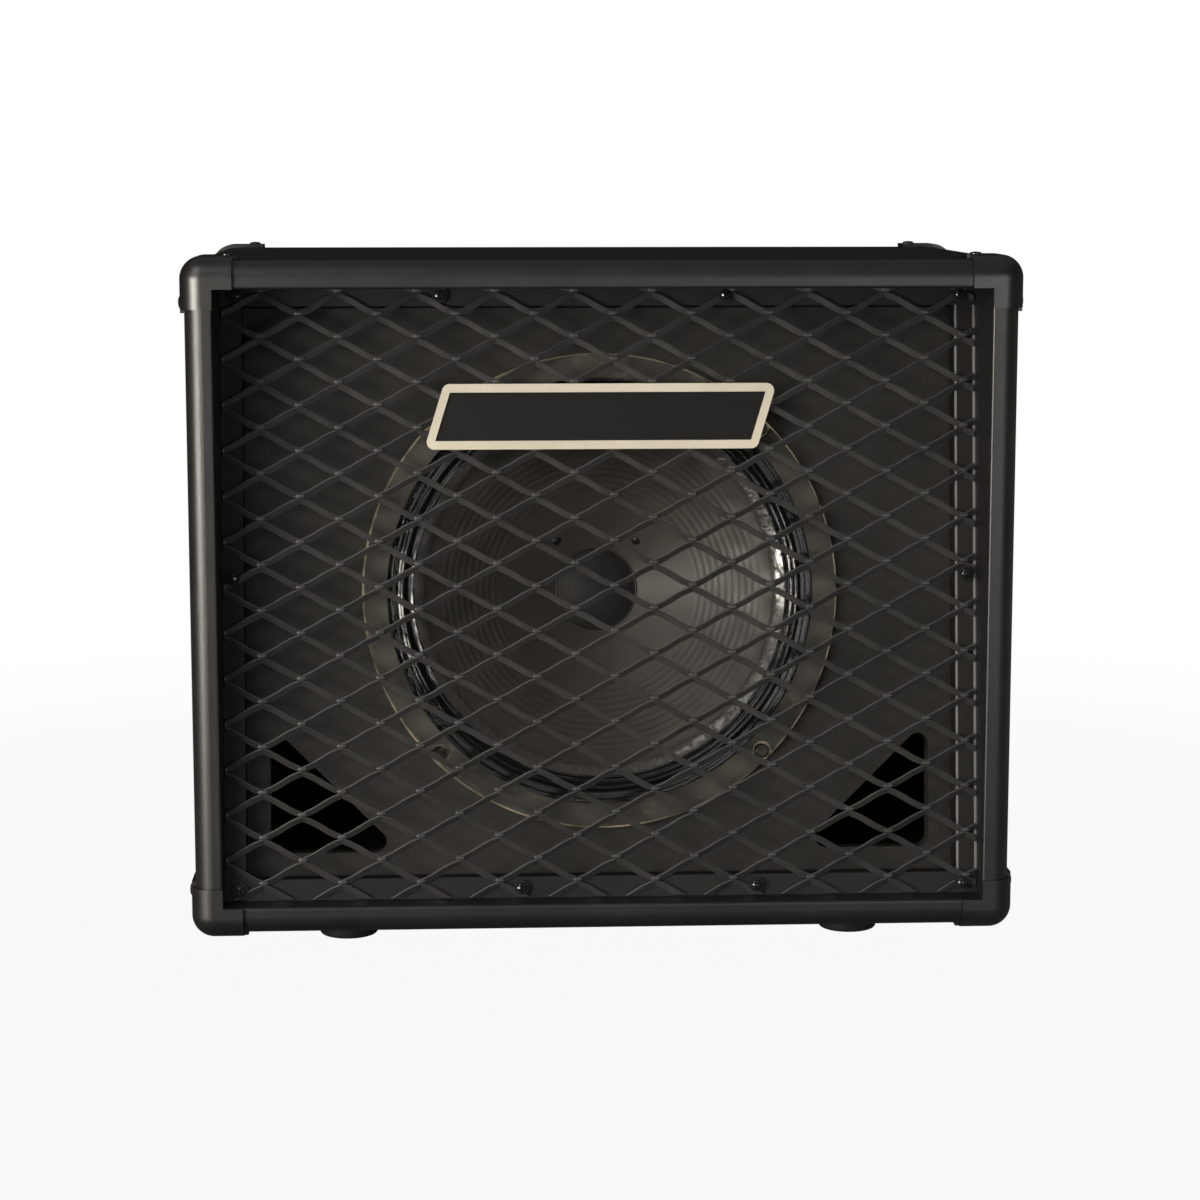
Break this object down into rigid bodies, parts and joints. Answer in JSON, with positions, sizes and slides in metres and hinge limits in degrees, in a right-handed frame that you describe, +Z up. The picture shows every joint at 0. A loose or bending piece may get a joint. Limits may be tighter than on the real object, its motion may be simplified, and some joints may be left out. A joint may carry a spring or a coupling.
{
  "type": "guitar speaker cabinet",
  "caption": "Closed, ported guitar speaker cabinet in black vinyl with a leaning expanded-metal grille, corner caps, feet, side handles and a driver whose cone moves.",
  "frame": {"origin": "on the floor under the middle of the cabinet: the centre of the bounding box's bottom face", "axes": "+X to the right as seen from the front, +Y to the rear, +Z up; the grille faces -Y"},
  "size_m": [0.5304, 0.3152, 0.4497],
  "materials": {
    "plywood": "sanded plywood under the covering",
    "cleat_pine": "planed softwood",
    "black_vinyl": "grained black vinyl",
    "black_baffle": "matt black paint on board",
    "rear_board": "board covered in black vinyl",
    "black_grille": "black powder coat",
    "black_screw": "black zinc",
    "cream_badge": "cream moulded plastic with a black field",
    "spring_steel": "bare spring steel",
    "cap_plastic": "black moulded plastic",
    "foot_rubber": "black rubber",
    "handle_plastic": "black moulded plastic",
    "plate_steel": "black powder coat",
    "jack_plastic": "black moulded plastic",
    "nut_chrome": "bright plated",
    "frame_steel": "pressed steel, dark coat",
    "gasket_card": "dark pressed card",
    "doped_paper": "shiny black dope on waved paper",
    "cone_paper": "dark grey ribbed paper",
    "cap_paper": "black felted paper",
    "former_alloy": "thin rolled alloy",
    "coil_copper": "enamelled copper wire",
    "spider_cloth": "resin-stiffened cotton",
    "magnet_steel": "zinc-plated steel",
    "ferrite": "sintered ferrite",
    "phenolic": "brown laminate",
    "bolt_steel": "zinc-plated steel",
    "tinsel": "braided copper",
    "lead_rubber": "insulated flexible wire"
  },
  "bodies": {
    "cabinet": {"back_plate": "magnet_steel", "badge_clips": "spring_steel", "badge_plate": "cream_badge", "baffle_board": "black_baffle", "bottom_panel": "plywood", "cone_surround": "doped_paper", "corner_cap_front_bottom_left": "cap_plastic", "corner_cap_front_bottom_right": "cap_plastic", "corner_cap_front_top_left": "cap_plastic", "corner_cap_front_top_right": "cap_plastic", "corner_cap_rear_bottom_left": "cap_plastic", "corner_cap_rear_bottom_right": "cap_plastic", "corner_cap_rear_top_left": "cap_plastic", "corner_cap_rear_top_right": "cap_plastic", "corner_cap_screws": "black_screw", "foot_front_left": "foot_rubber", "foot_front_right": "foot_rubber", "foot_rear_left": "foot_rubber", "foot_rear_right": "foot_rubber", "foot_screws": "black_screw", "grille_batten_bottom": "black_baffle", "grille_batten_left": "black_baffle", "grille_batten_right": "black_baffle", "grille_batten_top": "black_baffle", "grille_mesh": "black_grille", "grille_screws": "black_screw", "grille_washers": "black_screw", "handle_cup_left": "handle_plastic", "handle_cup_right": "handle_plastic", "handle_screws": "black_screw", "input_jack": "jack_plastic", "jack_nuts": "nut_chrome", "jack_plate": "plate_steel", "jack_plate_screws": "black_screw", "left_panel": "plywood", "link_jack": "jack_plastic", "magnet_ring": "ferrite", "rear_cleat_bottom": "cleat_pine", "rear_cleat_left": "cleat_pine", "rear_cleat_right": "cleat_pine", "rear_cleat_top": "cleat_pine", "rear_panel": "rear_board", "rear_panel_screws": "black_screw", "right_panel": "plywood", "speaker_bolts": "bolt_steel", "speaker_frame": "frame_steel", "speaker_gasket": "gasket_card", "speaker_leads": "lead_rubber", "spider": "spider_cloth", "tee_nuts": "bolt_steel", "terminal_board": "phenolic", "tinsel_leads": "tinsel", "top_panel": "plywood", "top_plate": "magnet_steel", "vinyl_covering": "black_vinyl"},
    "cone": {"speaker_cone": "cone_paper", "dust_cap": "cap_paper", "coil_former": "former_alloy", "coil_winding": "coil_copper"}
  },
  "joints": [
    {"name": "cone_excursion", "type": "slide", "parent": "cabinet", "child": "cone", "axis": [0, -0.9922, 0.1245], "range_m": [-0.004, 0.004], "stiffness_N_per_m": 6000, "deforming": ["cone_surround", "spider", "tinsel_leads"]}
  ]
}
